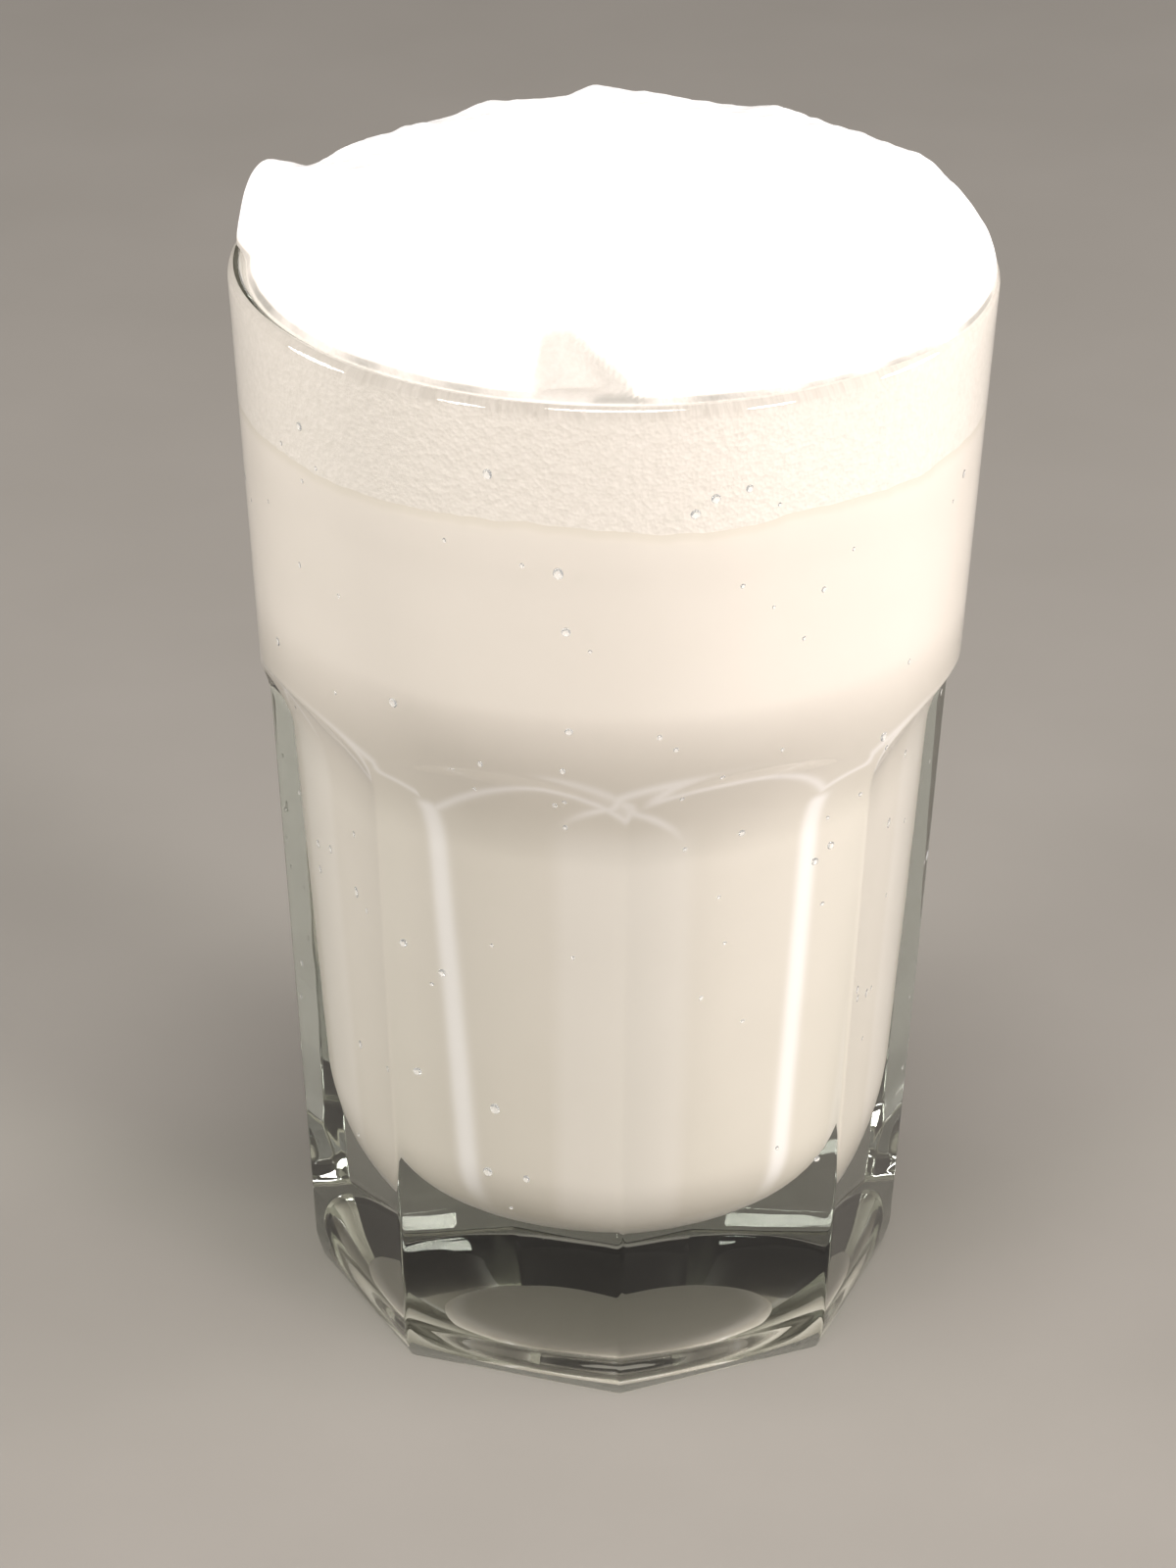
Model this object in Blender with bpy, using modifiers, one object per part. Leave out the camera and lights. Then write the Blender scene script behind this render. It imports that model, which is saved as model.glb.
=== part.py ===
"""A tall pressed-glass tumbler of ayran, filled past the brim with foam.

The tumbler is one thick-walled glass: a smooth round band under the rim, and eight flat panels below it
whose tops run out in arches. The drink fills the round cavity, and a layer of foam lies on the drink,
shows through the band and heaps over the rim.

Metres, +Z up, the origin at the middle of the underside. The front of the glass faces -Y.
"""

import math

import bmesh
import bpy
from mathutils import Matrix, Vector, noise

MM = 0.001

# The outside of the glass.
HEIGHT = 122 * MM
RIM_RADIUS = 41.3 * MM
RIM_WALL = 2.1 * MM
BAND_FOOT_RADIUS = 38.4 * MM
BAND_FOOT_HEIGHT = 76 * MM

# The eight panels, given by the radius of the corners between them.
PANELS = 8
PANEL_TURN = math.radians(3.2)
CORNER_TOP_RADIUS = 37.3 * MM
CORNER_TOP_HEIGHT = 71 * MM
CORNER_FOOT_RADIUS = 33.0 * MM
FOOT_BEVEL_HEIGHT = 3.0 * MM
FOOT_BEVEL_WIDTH = 0.9 * MM
ARCH_RADIUS = 10 * MM
ARCH_TURN = math.radians(66)
ARCH_STEPS = 8

# The round hollow under the foot.
UNDERCUT_RADIUS = 25 * MM
UNDERCUT_DEPTH = 5.5 * MM
UNDERCUT_STEPS = 4

# The cavity: a round floor, a narrow lower wall, and a shoulder that widens into the band.
FLOOR_HEIGHT = 15 * MM
FLOOR_FILLET = 9 * MM
LOWER_WALL_HEIGHT = 27 * MM
LOWER_WALL_RADIUS = 22 * MM
LOWER_WALL_SLOPE = 0.105
SHOULDER_FOOT = 64 * MM
SHOULDER_TOP = 86 * MM
UPPER_WALL_SLOPE = 0.085

# The drink and its foam.
FIT_GAP = 0.3 * MM
DRINK_HEIGHT = 107.5 * MM
SURFACE_WAVE = 0.8 * MM
SURFACE_WAVE_SIZE = 18 * MM
FOAM_WALL_TOP = 119.5 * MM
FOAM_LIP_HEIGHT = HEIGHT + 0.35 * MM
FOAM_LIP_THICKNESS = 0.3 * MM
FOAM_HEIGHT = 9.6 * MM
FOAM_STEEPNESS = 4.6
FOAM_LIP_STEEPNESS = 36
FOAM_BULGE_STEEPNESS = 10
FOAM_RUFFLE = 0.7 * MM
FOAM_RUFFLE_SIZE = 8 * MM
FOAM_EDGE_INSIDE = 38.8 * MM
FOAM_EDGE_OUTSIDE = 41.0 * MM

# Sectors of the foam, in degrees: the middle, how far either side it is full, and where it has ended.
FOAM_SPILL = (22, 42, 108)
FOAM_LOBE = (158, 10, 22)
FOAM_BULGE = (8, 6, 40)

# Swells on the foam's heap: x, y, height and reach, in millimetres.
FOAM_SWELLS = (
    (-39.6, 12.4, 6.2, 5.2),
    (-31.0, 2.0, 1.0, 6.0),
    (20.0, 28.0, 1.2, 8.0),
    (-1.0, 30.0, 1.3, 5.0),
    (-19.0, 24.0, 0.9, 9.0),
    (15.0, -6.0, 1.1, 11.0),
    (-14.0, -14.0, 1.2, 8.0),
    (13.0, -27.0, 1.3, 9.0),
    (-2.0, 8.0, -0.9, 9.0),
)

# The cleft where the foam folds in at the front rim: its two ends, depth and half-width.
CLEFT_RIM_END = Vector((-3.5, -40.0)) * MM
CLEFT_INNER_END = Vector((-8.5, -27.0)) * MM
CLEFT_DEPTH = 4.2 * MM
CLEFT_HALF_WIDTH = 2.6 * MM

# How finely the round shapes are divided, the weld distance, and how far a cutter stands proud.
TURNED_STEPS = 96
RIM_STEPS = 6
FILLET_STEPS = 6
SHOULDER_STEPS = 8
FILLING_SIDES = 80
SURFACE_RINGS = 6
DRINK_RINGS = 22
FOAM_RINGS = 32
WELD = 0.01 * MM
SPARE = 4 * MM


def smooth_step(start, end, value):
    """0 before start, 1 after end, and a smooth rise between them."""
    share = min(1.0, max(0.0, (value - start) / (end - start)))
    return share * share * (3 - 2 * share)


def make_material(name, colour, roughness, transmission=0.0):
    """A Principled material with one colour."""
    material = bpy.data.materials.new(name)
    material.use_nodes = True
    shader = material.node_tree.nodes["Principled BSDF"]
    shader.inputs["Base Color"].default_value = (*colour, 1.0)
    shader.inputs["Roughness"].default_value = roughness
    shader.inputs["Transmission Weight"].default_value = transmission
    shader.inputs["IOR"].default_value = 1.52
    material.diffuse_color = (*colour, 1.0)
    return material


def make_collection(name, hidden=False):
    """A collection in the scene; a hidden one holds cutters."""
    collection = bpy.data.collections.new(name)
    collection.hide_render = hidden
    bpy.context.scene.collection.children.link(collection)
    return collection


def add_object(name, data, collection, material=None):
    """An object in a collection, with its material."""
    made = bpy.data.objects.new(name, data)
    collection.objects.link(made)
    if material is not None:
        data.materials.append(material)
    return made


# The cavity, shared by the glass and by what fills it.


def cavity_radius(height):
    """The radius of the cavity's wall at a height, with the fillet at its floor."""
    lower = LOWER_WALL_RADIUS + LOWER_WALL_SLOPE * (height - LOWER_WALL_HEIGHT)
    upper = RIM_RADIUS - RIM_WALL - UPPER_WALL_SLOPE * (HEIGHT - height)
    share = smooth_step(SHOULDER_FOOT, SHOULDER_TOP, height)
    radius = lower + (upper - lower) * share
    below = FLOOR_HEIGHT + FLOOR_FILLET - height
    if below > 0:
        radius -= FLOOR_FILLET - math.sqrt(max(0.0, FLOOR_FILLET**2 - below**2))
    return radius


def wall_heights(top):
    """Heights from the floor to the top, close together only where the wall curves."""
    turns = [math.radians(90 * step / FILLET_STEPS) for step in range(FILLET_STEPS + 1)]
    fillet = [FLOOR_HEIGHT + FLOOR_FILLET * (1 - math.cos(turn)) for turn in turns]
    rise = (SHOULDER_TOP - SHOULDER_FOOT) / SHOULDER_STEPS
    shoulder = [SHOULDER_FOOT + rise * step for step in range(SHOULDER_STEPS + 1)]
    return fillet + shoulder + [top]


# The glass.


def rim_arc():
    """The rounded lip, from the inner wall over to the outer wall."""
    radius = RIM_WALL / 2
    centre = RIM_RADIUS - radius
    turns = [math.pi * (1 - step / RIM_STEPS) for step in range(RIM_STEPS + 1)]
    return [(centre + radius * math.cos(turn), HEIGHT - radius + radius * math.sin(turn)) for turn in turns]


def undercut_arc():
    """The hollow under the foot, from its edge to the middle."""
    turns = [math.radians(90 * step / UNDERCUT_STEPS) for step in range(UNDERCUT_STEPS)]
    rising = [(UNDERCUT_RADIUS * math.cos(turn), UNDERCUT_DEPTH * math.sin(turn)) for turn in turns]
    return rising + [(0.0, UNDERCUT_DEPTH)]


def glass_profile():
    """The turned outline: up the cavity, over the rim, and down the outside to the middle of the foot."""
    inside = [(cavity_radius(z), z) for z in wall_heights(HEIGHT - RIM_WALL / 2)]
    outside = [(BAND_FOOT_RADIUS, BAND_FOOT_HEIGHT), (BAND_FOOT_RADIUS, 0.0)]
    return [(0.0, FLOOR_HEIGHT)] + inside + rim_arc()[1:] + outside + undercut_arc()


def turned_mesh(name, profile):
    """A mesh of one open polyline in the XZ plane, ready for a Screw modifier."""
    mesh = bpy.data.meshes.new(name)
    outline = bmesh.new()
    points = [outline.verts.new((radius, 0.0, height)) for radius, height in profile]
    for start, end in zip(points, points[1:]):
        outline.edges.new((start, end))
    outline.to_mesh(mesh)
    outline.free()
    return mesh


def add_screw(turned):
    """Turns the profile right round the Z axis."""
    screw = turned.modifiers.new("Turn", "SCREW")
    screw.axis = "Z"
    screw.angle = math.tau
    screw.steps = TURNED_STEPS
    screw.render_steps = TURNED_STEPS
    screw.use_merge_vertices = True
    screw.merge_threshold = WELD
    screw.use_smooth_shade = True


def panel_distance(corner_radius):
    """How far a panel's plane stands from the axis, for a given corner radius."""
    return corner_radius * math.cos(math.pi / PANELS)


def panel_outline():
    """What one cutter takes away, seen edge on: bevel, flat panel, and the scoop that makes the arch."""
    foot = panel_distance(CORNER_FOOT_RADIUS)
    top = panel_distance(CORNER_TOP_RADIUS)
    bevel_slope = FOOT_BEVEL_WIDTH / FOOT_BEVEL_HEIGHT
    far = BAND_FOOT_RADIUS + SPARE
    lean = math.atan2(top - foot, CORNER_TOP_HEIGHT - FOOT_BEVEL_HEIGHT)
    scoop = []
    for step in range(1, ARCH_STEPS + 1):
        turn = ARCH_TURN * step / ARCH_STEPS
        along = ARCH_RADIUS * math.sin(turn)
        out = ARCH_RADIUS * (1 - math.cos(turn))
        scoop.append(
            (
                top + out * math.cos(lean) + along * math.sin(lean),
                CORNER_TOP_HEIGHT + along * math.cos(lean) - out * math.sin(lean),
            )
        )
    return (
        [
            (far, -SPARE),
            (foot - FOOT_BEVEL_WIDTH - SPARE * bevel_slope, -SPARE),
            (foot, FOOT_BEVEL_HEIGHT),
            (top, CORNER_TOP_HEIGHT),
        ]
        + scoop
        + [(far, scoop[-1][1] + (far - scoop[-1][0]))]
    )


def make_cutter_mesh():
    """One panel's cutter: the outline as a flat curve, extruded wider than the panel, as a mesh."""
    curve = bpy.data.curves.new("panel_cutter", "CURVE")
    curve.dimensions = "2D"
    curve.fill_mode = "BOTH"
    curve.extrude = BAND_FOOT_RADIUS
    outline = panel_outline()
    spline = curve.splines.new("POLY")
    spline.points.add(len(outline) - 1)
    for point, (out, up) in zip(spline.points, outline):
        point.co = (out, up, 0.0, 1.0)
    spline.use_cyclic_u = True
    holder = bpy.data.objects.new("panel_cutter_curve", curve)
    bpy.context.scene.collection.objects.link(holder)
    bpy.context.view_layer.update()
    graph = bpy.context.evaluated_depsgraph_get()
    mesh = bpy.data.meshes.new_from_object(holder.evaluated_get(graph))
    bpy.data.objects.remove(holder)
    welded = bmesh.new()
    welded.from_mesh(mesh)
    bmesh.ops.remove_doubles(welded, verts=welded.verts, dist=WELD)
    bmesh.ops.recalc_face_normals(welded, faces=welded.faces)
    welded.to_mesh(mesh)
    welded.free()
    return mesh


def add_panel_cutters(collection):
    """One cutter for each panel, all round the glass."""
    mesh = make_cutter_mesh()
    for panel in range(PANELS):
        cutter = add_object(f"panel_cutter_{panel + 1}", mesh, collection)
        middle = math.radians(-90) + PANEL_TURN + math.tau * (panel + 0.5) / PANELS
        upright = Matrix.Rotation(math.radians(90), 4, "X")
        cutter.matrix_world = Matrix.Rotation(middle, 4, "Z") @ upright
        cutter.hide_render = True
        cutter.display_type = "WIRE"


def make_glass(parts, cutters, material):
    """The tumbler: turned, then cut by the eight panels."""
    mesh = turned_mesh("glass", glass_profile())
    glass = add_object("glass", mesh, parts, material)
    add_screw(glass)
    add_panel_cutters(cutters)
    cut = glass.modifiers.new("Panels", "BOOLEAN")
    cut.operation = "DIFFERENCE"
    cut.operand_type = "COLLECTION"
    cut.collection = cutters
    cut.solver = "EXACT"
    return glass


# The drink and the foam.


def surface_height(x, y):
    """The uneven line between the drink and its foam."""
    place = Vector((x, y, 0.0)) / SURFACE_WAVE_SIZE
    return DRINK_HEIGHT + SURFACE_WAVE * noise.noise(place)


def sector_share(sector, angle):
    """1 in the middle of a sector, 0 outside it, and a smooth fall at its sides."""
    middle, full, ended = sector
    away = abs((math.degrees(angle) - middle + 180) % 360 - 180)
    return 1 - smooth_step(full, ended, away)


def foam_edge(angle):
    """How far out the foam reaches: inside the rim, or over it where it spills or has its side lobe."""
    over = max(sector_share(FOAM_SPILL, angle), sector_share(FOAM_LOBE, angle))
    return FOAM_EDGE_INSIDE + (FOAM_EDGE_OUTSIDE - FOAM_EDGE_INSIDE) * over


def cleft_depth(x, y):
    """How deep the cleft cuts the foam at a point: deepest at the rim, running out inwards."""
    run = CLEFT_INNER_END - CLEFT_RIM_END
    offset = Vector((x, y)) - CLEFT_RIM_END
    share = min(1.0, max(0.0, offset.dot(run) / run.length_squared))
    aside = (offset - run * share).length
    return CLEFT_DEPTH * (1 - share) * math.exp(-((aside / CLEFT_HALF_WIDTH) ** 2))


def foam_top(x, y, edge):
    """The height of the heap at a point, where edge is how far the foam reaches there."""
    share = min(1.0, math.hypot(x, y) / edge)
    bulge = sector_share(FOAM_BULGE, math.atan2(y, x))
    steepness = FOAM_STEEPNESS + (FOAM_BULGE_STEEPNESS - FOAM_STEEPNESS) * bulge
    rise = FOAM_HEIGHT * (1 - share**steepness)
    # Swells and ruffles die away at the lip, so that it stays on the rim.
    held = 1 - share**FOAM_LIP_STEEPNESS
    for swell_x, swell_y, height, reach in FOAM_SWELLS:
        away = math.hypot(x / MM - swell_x, y / MM - swell_y) / reach
        rise += height * MM * math.exp(-away * away) * held
    place = Vector((x, y, 0.0)) / FOAM_RUFFLE_SIZE
    rise += FOAM_RUFFLE * noise.fractal(place, 1.0, 2.0, 3) * held
    rise -= cleft_depth(x, y) * held
    return FOAM_LIP_HEIGHT + max(FOAM_LIP_THICKNESS, rise)


def surface_ring(angle, step):
    """A point on the line between drink and foam: step 0 is the middle, the last is at the wall."""
    radius = (cavity_radius(DRINK_HEIGHT) - FIT_GAP) * step / SURFACE_RINGS
    return radius, surface_height(radius * math.cos(angle), radius * math.sin(angle))


def drink_profile(angle):
    """The drink's outline at an angle, from the middle of its floor round to the middle of its top."""
    heights = wall_heights(DRINK_HEIGHT)[1:-1]
    points = [(0.0, FLOOR_HEIGHT + FIT_GAP)]
    points += [(cavity_radius(z) - FIT_GAP, z + FIT_GAP) for z in heights]
    points += [surface_ring(angle, step) for step in range(SURFACE_RINGS, -1, -1)]
    return points


def foam_profile(angle):
    """The foam's outline at an angle, from the middle of its underside round to the middle of its heap."""
    under = [surface_ring(angle, step) for step in range(SURFACE_RINGS + 1)]
    points = [(radius, level + FIT_GAP) for radius, level in under]
    points.append((cavity_radius(FOAM_WALL_TOP) - FIT_GAP, FOAM_WALL_TOP))
    edge = foam_edge(angle)
    neck = min(edge, cavity_radius(HEIGHT) - FIT_GAP)
    points.append((neck, FOAM_LIP_HEIGHT))
    top_rings = FOAM_RINGS - len(points)
    for step in range(top_rings + 1):
        radius = edge * math.cos(math.radians(90 * step / top_rings))
        points.append((radius, foam_top(radius * math.cos(angle), radius * math.sin(angle), edge)))
    return points


def make_filling(name, profile, rings, collection, material):
    """A closed round solid, cast from a sphere: each of its rings goes where the profile puts it."""
    mesh = bpy.data.meshes.new(name)
    cast = bmesh.new()
    bmesh.ops.create_uvsphere(cast, u_segments=FILLING_SIDES, v_segments=rings, radius=1.0)
    for vertex in cast.verts:
        angle = math.atan2(vertex.co.y, vertex.co.x)
        upward = math.asin(max(-1.0, min(1.0, vertex.co.z))) / math.pi + 0.5
        radius, height = profile(angle)[round(upward * rings)]
        vertex.co = (radius * math.cos(angle), radius * math.sin(angle), height)
    bmesh.ops.recalc_face_normals(cast, faces=cast.faces)
    cast.to_mesh(mesh)
    cast.free()
    mesh.shade_smooth()
    return add_object(name, mesh, collection, material)


def main():
    for old in list(bpy.data.objects):
        bpy.data.objects.remove(old)
    parts = make_collection("glass_of_ayran")
    cutters = make_collection("cutters", hidden=True)
    make_glass(parts, cutters, make_material("clear_glass", (0.86, 0.93, 0.90), 0.02, 1.0))
    ayran = make_material("ayran", (0.90, 0.87, 0.80), 0.35)
    make_filling("ayran", drink_profile, DRINK_RINGS, parts, ayran)
    foam = make_material("foam", (0.95, 0.94, 0.91), 0.7)
    make_filling("foam", foam_profile, FOAM_RINGS, parts, foam)


main()
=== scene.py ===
"""The looks of a glass of ayran: clear pressed glass, the creamy drink, its foam, and beads of water.

Lengths are in millimetres in the shape functions, and become metres when a mesh is made. Angles round the
glass are counted from +X, so that the front is at -90 degrees.
"""

import math

import bmesh
import bpy
import numpy as np
from mathutils import Matrix, Vector, noise


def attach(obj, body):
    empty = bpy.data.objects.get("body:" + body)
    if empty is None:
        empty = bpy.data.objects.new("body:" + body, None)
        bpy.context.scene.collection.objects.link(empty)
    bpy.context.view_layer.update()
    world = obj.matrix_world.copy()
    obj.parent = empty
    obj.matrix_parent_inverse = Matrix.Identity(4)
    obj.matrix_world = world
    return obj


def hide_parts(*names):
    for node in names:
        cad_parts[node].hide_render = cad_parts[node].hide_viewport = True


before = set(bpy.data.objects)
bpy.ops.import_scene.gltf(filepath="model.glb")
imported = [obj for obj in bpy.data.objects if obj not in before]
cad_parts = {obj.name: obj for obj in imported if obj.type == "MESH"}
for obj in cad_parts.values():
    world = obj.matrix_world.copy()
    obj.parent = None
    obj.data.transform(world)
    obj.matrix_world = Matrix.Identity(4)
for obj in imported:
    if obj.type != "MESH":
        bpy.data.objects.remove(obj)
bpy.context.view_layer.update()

MM = 0.001

# The outside of the glass.
HEIGHT = 122.0
RIM_RADIUS = 41.3
RIM_WALL = 2.1
BAND_FOOT_RADIUS = 38.4
BAND_FOOT_HEIGHT = 76.0
PANELS = 8
PANEL_TURN = math.radians(3.2)
CORNER_TOP_RADIUS = 37.3
CORNER_TOP_HEIGHT = 71.0
CORNER_FOOT_RADIUS = 33.0
FOOT_BEVEL_HEIGHT = 3.0
FOOT_BEVEL_WIDTH = 0.9
FOOT_ROUNDING = 0.5
ARCH_RADIUS = 10.0
ARCH_SCOOP_END = 0.995
UNDERCUT_RADIUS = 25.0
UNDERCUT_DEPTH = 5.5

# How far the moulded edges are softened.
CORNER_SOFTNESS = 0.3
ARCH_SOFTNESS = 0.5
BEVEL_SOFTNESS = 0.2

# The cavity.
FLOOR_HEIGHT = 15.0
FLOOR_FILLET = 9.0
LOWER_WALL_HEIGHT = 27.0
LOWER_WALL_RADIUS = 22.0
LOWER_WALL_SLOPE = 0.105
SHOULDER_FOOT = 64.0
SHOULDER_TOP = 86.0
UPPER_WALL_SLOPE = 0.085

# The drink and the foam. Each reaches a little into the glass, so that no air gap shows, and into the
# other. A slice is the height at which a noise is read, so that two noises differ.
DRINK_HEIGHT = 107.5
SURFACE_WAVE = 0.8
SURFACE_WAVE_SIZE = 18.0
SURFACE_WAVE_SLICE = 0.0
SURFACE_RAGGED = 0.28
SURFACE_RAGGED_SIZE = 3.2
SURFACE_RAGGED_SLICE = 7.0
SURFACE_OVERLAP = 0.4
INTO_WALL = 0.06
FOAM_INTO_WALL = 1.4 * INTO_WALL

# The foam's lip: how far below the rim's rounding its wall stops, how many degrees round that it ends
# where it stays inside and where it lies over, how sharply it meets the heap, and how high it is.
FOAM_WALL_GAP = 0.3
FOAM_LIP_ENDS = (158.0, 44.0)
FOAM_LIP_BLEND = 60
FOAM_LIP_HEIGHT = HEIGHT + 0.35

# The foam's heap.
FOAM_HEIGHT = 9.3
FOAM_STEEPNESS = 4.6
FOAM_LIP_STEEPNESS = 36
FOAM_LOBE_STEEPNESS = 130
FOAM_BULGE_STEEPNESS = 10
FOAM_RUFFLE = 0.7
FOAM_RUFFLE_SIZE = 8.0
FOAM_RUFFLE_SLICE = 0.0
FOAM_CRUMB = 0.22
FOAM_CRUMB_SIZE = 3.2
FOAM_CRUMB_SLICE = 3.0
FOAM_EDGE_INSIDE = 39.0
FOAM_EDGE_OUTSIDE = 41.0

# Sectors of the foam: the middle, and how far to each side it is full and has ended, in degrees.
FOAM_SPILL = (22, 42, 108)
FOAM_LOBE = (161, 11, 21)
FOAM_BULGE = (8, 6, 40)

# Swells and dips of the heap: where the middle is, how high it rises, and how far it reaches.
FOAM_SWELLS = (
    (-40.4, 8.4, 4.0, 3.4),
    (-38.6, 13.4, 4.2, 4.2),
    (-34.2, 21.6, -2.0, 3.0),
    (-31.0, 2.0, 1.0, 6.0),
    (20.0, 28.0, 1.2, 8.0),
    (-1.0, 30.0, 1.3, 5.0),
    (-19.0, 24.0, 0.9, 9.0),
    (15.0, -6.0, 1.1, 11.0),
    (-14.0, -14.0, 1.2, 8.0),
    (13.0, -27.0, 1.3, 9.0),
    (-2.0, 8.0, -0.9, 9.0),
)

# The cleft in the foam, which has a steep side on the right.
CLEFT_RIM_END = np.array((-3.5, -40.0))
CLEFT_INNER_END = np.array((-8.5, -27.0))
CLEFT_DEPTH = 4.2
CLEFT_HALF_WIDTHS = (6.0, 1.0)
CLEFT_FADE = 0.8
CLEFT_RIGHT_STEEPNESS = 6
CLEFT_LEFT_STEEPNESS = 2

# How greyed the foam is, from 0 to 1: greyer against the glass, with painted shade in the cleft and a
# painted dark line of shade along the lip's foot, where the foam meets the rim. The fades are heights
# above the rim.
GREY_AT_GLASS = 0.6
GREY_GLASS_FADE = (1.2, 0.2)
CLEFT_SHADE_STRENGTH = 0.8
CLEFT_SHADE_SPREAD = 2.2
SHADE_RIM_FADE = (-0.6, -0.1)
FOOT_SHADE_FADE = (0.8, 0.35)
FOOT_SHADE_PATCH_LIMITS = (0.6, 0.95)
FOOT_SHADE_PATCH_MIDDLE = 0.8
FOOT_SHADE_PATCH_SWING = 0.3
FOOT_SHADE_PATCH_SIZE = 6.0
FOOT_SHADE_PATCH_SLICE = 9.0

# The lines of light that the glass casts on the drink, painted into its colour: angles in degrees, the
# rest in millimetres.
# Light is 1 in a bright line and PLAIN_LIGHT elsewhere. Each fade is where a smooth step begins and ends.
# DEGREE_ON_DRINK is how wide a degree is on the drink's wall.
PLAIN_LIGHT = 0.2
BRIGHT_CORNER = -41.8
BRIGHT_SPACING = 90
STRIPE_TOP = 70.0
STRIPE_TOP_SOFTNESS = 1.0
STRIPE_FOOT_FADE = (16.5, 22.0)
STRIPE_OFFSETS = (0.6, 4.4)
STRIPE_HALF_WIDTHS = (2.8, 4.1)
STRIPE_EDGE_STEEPNESS = 3
ARCH_LINE_WIDTH = 0.55
ARCH_LINE_FADE = (48.0, 60.0)
ARCH_LINE_END = 58.0
ARCH_FALL_LIMIT = 1.5
ARCH_LINE_LIGHT = 0.8
DEGREE_ON_DRINK = 0.44

# Each line that follows an arch: the height of its top, how far it rises to that from the corner, how
# many degrees round the top lies, the bend of the rise, how far it falls by ARCH_LINE_END, and that bend.
ARCH_LINE = (76.8, 5.6, 25.0, 2.3, 7.4, 2.8)
LEFT_ARCH_LINE = (76.8, 8.9, 30.0, 1.4, 11.0, 2.0)
LEFT_ARCH_MIDDLE = -86.8

# The shade below an arch's line: how far below it begins and ends, and where round it begins and ends.
ARCH_SHADE = 0.02
ARCH_SHADE_NEAR = (0.2, 1.4)
ARCH_SHADE_FAR = (16.0, 3.0)
ARCH_SHADE_START = (4.0, 14.0)
ARCH_SHADE_END = (34.0, 44.0)

# The painted light on the panels between the bright corners, the painted glow at the floor, and the
# painted shades at the top and foot.
BETWEEN_LIGHT = 0.2
BETWEEN_SIDE_FADE = (29.0, 35.0)
BETWEEN_TOP_FADE = (72.0, 66.0)
FLOOR_GLOW_FADE = (3.0, 0.5)
TOP_SHADE = 0.12
TOP_SHADE_FADE = (1.9, 0.5)
LOW_SHADE = 0.04
LOW_SHADE_FADE = (55.0, 22.0)

# The beads of water on the outside. The slope of the glass under a bead is taken over the two small steps.
DROPLETS = 200
DROPLET_SEED = 5
DROPLET_RADII = (0.22, 0.6)
DROPLET_FLATNESS = 0.11
DROPLET_SINK = 0.01
DROPLET_HEIGHTS = (20.0, 114.0)
DROPLET_STRETCH = (0.9, 1.3)
DROPLET_HEIGHT_BIAS = 0.7
DROPLET_SMALL_BIAS = 2.5
SLOPE_ANGLE = 0.002
SLOPE_HEIGHT = 0.05
DROPLET_SIDES = 12
DROPLET_RINGS = 4

# How finely the meshes are divided: columns round the glass, and rows over each stretch.
COLUMNS_PER_PANEL = 44
FOAM_COLUMNS = 400
DRINK_COLUMNS = 640
FLOOR_ROWS = 6
FILLET_ROWS = 14
LOWER_WALL_ROWS = 12
SHOULDER_ROWS = 34
UPPER_WALL_ROWS = 12
RIM_ROWS = 11
BAND_ROWS = 12
ARCH_ROWS = 49
ARCH_ROWS_TOP = 82.0
ARCH_ROWS_FOOT = 70.0
PANEL_ROWS = 16
BEVEL_ROWS = 9
BEVEL_ROWS_TOP = 4.0
FOOT_EDGE_ROWS = 6
FOOT_RING_ROWS = (0.35, 0.7, 1.0)
UNDERCUT_ROWS = 8
DRINK_FINE_ROWS = (65.0, 81.0)
DRINK_FINE_STEP = 0.32
DRINK_TOP_ROWS = (1.9, 1.4, 0.9, 0.5, 0.06, 0.0)
DRINK_TOP_CLEARANCE = 3.0
SURFACE_ROWS = 14
FOAM_UNDERSIDE_ROWS = 12
FOAM_UNDERSIDE_LAST = 0.999
FOAM_WALL_ROWS = 16
FOAM_WALL_FIRST = 0.003
FOAM_LIP_ROWS = 8
FOAM_HEAP_ROWS = 130

# The materials: sizes and depths of their relief, and colours. A stop is a place on a ramp and its colour.
GLASS_WAVE_SIZE = 9.0
GLASS_WAVE_DEPTH = 0.05
GLASS_BODY_COLOUR = (0.80, 0.815, 0.79, 1.0)
GLASS_BODY_DENSITY = 50.0
GLASS_SHADOW_COLOUR = (0.95, 0.965, 0.955, 1.0)
WATER_RIPPLE_SIZE = 1.5
WATER_RIPPLE_DEPTH = 0.01
# The drink's colour in painted shade, in plain light, and in a painted bright line of light.
DRINK_LIGHT_AND_SHADE_STOPS = ((0.0, (0.65, 0.59, 0.50)), (PLAIN_LIGHT, (0.76, 0.695, 0.63)), (1.0, (0.98, 0.925, 0.91)))
DRINK_MOTTLE_SIZE = 14.0
DRINK_MOTTLE_STOPS = ((0.3, (0.97, 0.97, 0.965)), (0.7, (1.0, 1.0, 1.0)))
# The foam's ramp: white on the open heap, grey against the glass and in the painted shade of the cleft,
# and dark in the painted shade along the lip's foot.
FOAM_GREY_AND_SHADE_STOPS = ((0.0, (0.97, 0.955, 0.945)), (GREY_AT_GLASS, (0.79, 0.73, 0.67)), (1.0, (0.31, 0.30, 0.27)))
FOAM_GRAIN_SIZE = 0.8
FOAM_GRAIN_STOPS = ((0.3, (0.93, 0.93, 0.92)), (0.65, (1.0, 1.0, 1.0)))
FINE_BUBBLE_SIZE = 0.45
FINE_BUBBLE_DEPTH = 0.04
COARSE_BUBBLE_SIZE = 1.1
COARSE_BUBBLE_DEPTH = 0.05
FLOOR_GRAIN_SIZE = 40.0
FLOOR_STOPS = ((0.3, (0.245, 0.23, 0.206)), (0.7, (0.258, 0.242, 0.218)))

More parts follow.
